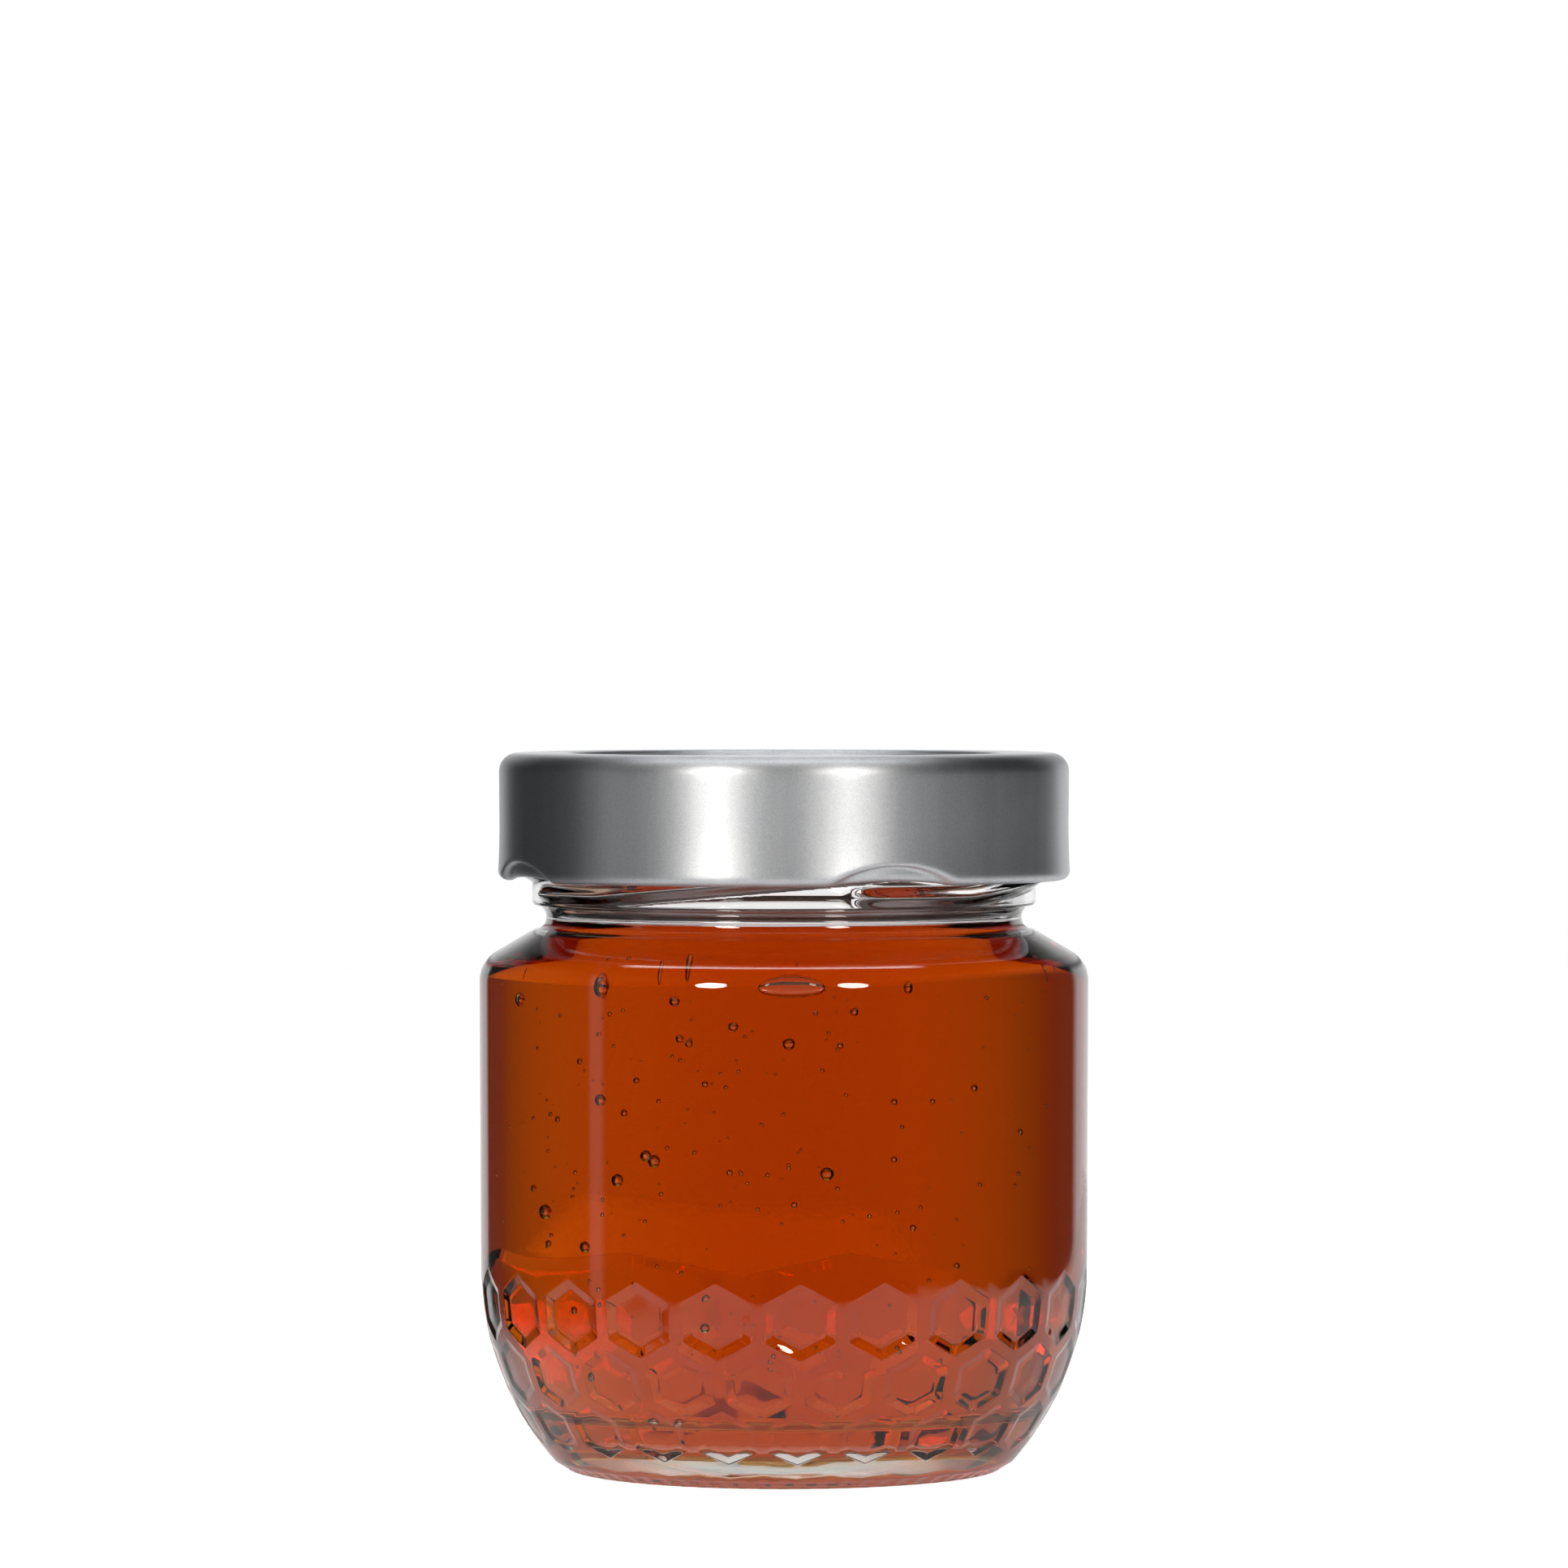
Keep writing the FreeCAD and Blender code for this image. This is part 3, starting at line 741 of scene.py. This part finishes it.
# The turn from the front, of a direction over a full circle and of a slope over half of one.
turns = []
for direction, reach in ((parts, 180), (facing, 90)):
    ahead = add_node(
        tree, "ShaderNodeMath", {0: direction.outputs[1], 1: -1.0}, operation="MULTIPLY"
    )
    turn = add_node(
        tree,
        "ShaderNodeMath",
        {0: direction.outputs[0], 1: ahead.outputs[0]},
        operation="ARCTAN2",
    )
    turn = add_node(
        tree,
        "ShaderNodeMapRange",
        {
            "Value": turn.outputs[0],
            "From Min": -math.radians(reach),
            "From Max": math.radians(reach),
        },
    )
    turns.append(turn.outputs[0])
turn_through, turn_mirrored = turns

# Runs of grey levels, each stop a place and its level. The first is what shows through the glass. The
# others go in pairs, by turn and by lean, from -1 for a face that looks down to 1 for one that looks up.
runs = []
for socket, reach, stops in (
    # A bright backdrop behind the jar, falling off to a dim room.
    (
        turn_through,
        180,
        [
            (-180, 0.97), (-164, 0.92), (-154, 0.78), (-141, 0.51), (-130, 0.37), (-113, 0.38),
            (-90, 0.42), (0, 0.42), (90, 0.42), (113, 0.38), (123, 0.4), (132, 0.58), (138, 0.7),
            (145, 0.81), (163, 0.98), (180, 0.97),
        ],
    ),
    # Upright faces mirror a dark room between bright sides, with one bright gap on the left.
    (
        turn_mirrored,
        90,
        [
            (-90, 0.9), (-80, 0.85), (-76.5, 0.8), (-75, 0.02), (-50, 0.01), (-39.5, 0.01),
            (-38.5, 0.6), (-36.5, 0.6), (-35.5, 0.012), (0, 0.01), (50, 0.01), (70, 0.015), (73, 0.9),
            (77, 1.0), (90, 0.9),
        ],
    ),
    (lean, 1, [(-1, 1), (0.35, 1), (0.5, 0.1), (1, 0.1)]),
    # Sloping faces mirror sides that reach further round.
    (
        turn_mirrored,
        90,
        [
            (-90, 0.9), (-80, 0.7), (-68, 0.3), (-60, 0), (60, 0), (68, 0.3), (80, 0.7), (90, 0.9),
        ],
    ),
    (lean, 1, [(-1, 0), (0.45, 0), (0.6, 1), (0.8, 1), (0.86, 0), (1, 0)]),
    # Nearly level faces mirror the upper wall in patches.
    (
        turn_mirrored,
        90,
        [
            (-90, 0.9), (-60, 0.6), (-40, 0.45), (-30, 0.35), (-27, 0.03), (-17, 0.03), (-14, 0.4),
            (8, 0.4), (14, 0.1), (60, 0.3), (90, 0.9),
        ],
    ),
    (lean, 1, [(-1, 0), (0.825, 0), (0.85, 1), (0.9, 1), (0.96, 0), (1, 0)]),
    # The strip light over the jar.
    (turn_mirrored, 90, [(-90, 0), (-34, 0), (-30, 1), (25, 1), (29, 0), (90, 0)]),
    (lean, 1, [(-1, 0), (0.675, 0), (0.69, 1), (0.735, 1), (0.75, 0), (1, 0)]),
    # The backdrop's top, which level faces mirror.
    (turn_mirrored, 90, [(-90, 1.0), (90, 1.0)]),
    (lean, 1, [(-1, 0), (0.88, 0), (0.95, 1), (1, 1)]),
    # Faces that look down mirror the bright sheet in front.
    (
        turn_mirrored,
        90,
        [(-90, 0.05), (-42, 0.05), (-18, 0.9), (20, 0.9), (38, 0.08), (90, 0.05)],
    ),
    (lean, 1, [(-1, 1), (-0.16, 1), (-0.08, 0), (1, 0)]),
):
    run = add_node(tree, "ShaderNodeValToRGB", {0: socket})
    marks = run.color_ramp.elements
    marks.remove(marks[0])
    for index, (at, level) in enumerate(stops):
        at = (at + reach) / (2 * reach)
        mark = marks[0] if index == 0 else marks.new(at)
        mark.position = at
        mark.color = (level, level, level, 1)
    runs.append(run)

through = runs[0]
mirrored = None
for by_turn, by_lean, strength in zip(runs[1::2], runs[2::2], (1.0, 1.0, 1.0, 6.0, 1.3, 1.0)):
    layer = add_node(
        tree,
        "ShaderNodeMath",
        {0: by_turn.outputs[0], 1: by_lean.outputs[0]},
        operation="MULTIPLY",
    )
    mirrored = add_node(
        tree,
        "ShaderNodeMath",
        {0: layer.outputs[0], 1: strength, 2: mirrored.outputs[0] if mirrored else 0.0},
        operation="MULTIPLY_ADD",
    )

# Away from the backdrop, what shows through the glass is a dim, warm brown room.
warmth = add_node(
    tree,
    "ShaderNodeMapRange",
    {"Value": through.outputs[0], "From Min": 0.36, "From Max": 0.5},
)
warmth = add_node(
    tree,
    "ShaderNodeMix",
    {0: warmth.outputs[0], 6: (1.0, 0.55, 0.36, 1.0), 7: (1.0, 1.0, 1.0, 1.0)},
    data_type="RGBA",
)
through = add_node(
    tree,
    "ShaderNodeVectorMath",
    {0: through.outputs[0], 1: warmth.outputs[2]},
    operation="MULTIPLY",
)
# What lies well above and below the jar is brown too.
lift = add_node(tree, "ShaderNodeMath", {0: parts.outputs[2]}, operation="ABSOLUTE")
lift = add_node(
    tree, "ShaderNodeMapRange", {"Value": lift.outputs[0], "From Min": 0.3, "From Max": 0.6}
)
through = add_node(
    tree,
    "ShaderNodeMix",
    {0: lift.outputs[0], 6: through.outputs[0], 7: (0.6, 0.32, 0.2, 1.0)},
    data_type="RGBA",
)
by_kind = add_node(
    tree,
    "ShaderNodeMix",
    {0: light_path.outputs["Is Transmission Ray"], 6: mirrored.outputs[0], 7: through.outputs[2]},
    data_type="RGBA",
)
seen = add_node(
    tree,
    "ShaderNodeMix",
    {0: light_path.outputs["Is Camera Ray"], 6: by_kind.outputs[2], 7: (1, 1, 1, 1)},
    data_type="RGBA",
)
background = add_node(tree, "ShaderNodeBackground", {"Color": seen.outputs[2], "Strength": 1.0})
tree.links.new(background.outputs[0], output.inputs["Surface"])


SOFTBOX_DISTANCE = 1.6
SOFTBOX_LIFT = 21
SOFTBOX_WIDTH = 0.32
SOFTBOX_HEIGHT = 0.48
AIM_HEIGHT = 0.06


def softbox(name, turn, power):
    """An oval lamp that faces the jar, placed by its turn from the front."""
    lamp = bpy.data.lights.new(name, "AREA")
    lamp.shape = "ELLIPSE"
    lamp.size = SOFTBOX_WIDTH
    lamp.size_y = SOFTBOX_HEIGHT
    lamp.energy = power
    lamp.color = colour("#FFFAF2")[:3]
    holder = bpy.data.objects.new(name, lamp)
    bpy.context.scene.collection.objects.link(holder)
    turn = math.radians(turn)
    lift = math.radians(SOFTBOX_LIFT)
    holder.location = (
        SOFTBOX_DISTANCE * math.cos(lift) * math.sin(turn),
        -SOFTBOX_DISTANCE * math.cos(lift) * math.cos(turn),
        AIM_HEIGHT + SOFTBOX_DISTANCE * math.sin(lift),
    )
    holder.rotation_euler = (math.pi / 2 - lift, 0, turn)


softbox("softbox_left", -28, 10.5)
softbox("softbox_right", 26.5, 8.5)

CAMERA_DISTANCE = 0.970
CAMERA_HEIGHT = 0.0996
CAMERA_TILT = 0.97
camera = bpy.data.cameras.new("camera")
camera.sensor_width = 36
camera.lens = 183.1
holder = bpy.data.objects.new("camera", camera)
bpy.context.scene.collection.objects.link(holder)
holder.location = (0, -CAMERA_DISTANCE, CAMERA_HEIGHT)
holder.rotation_euler = (math.radians(90 - CAMERA_TILT), 0, 0)
bpy.context.scene.camera = holder
bpy.context.scene.view_settings.view_transform = "Standard"
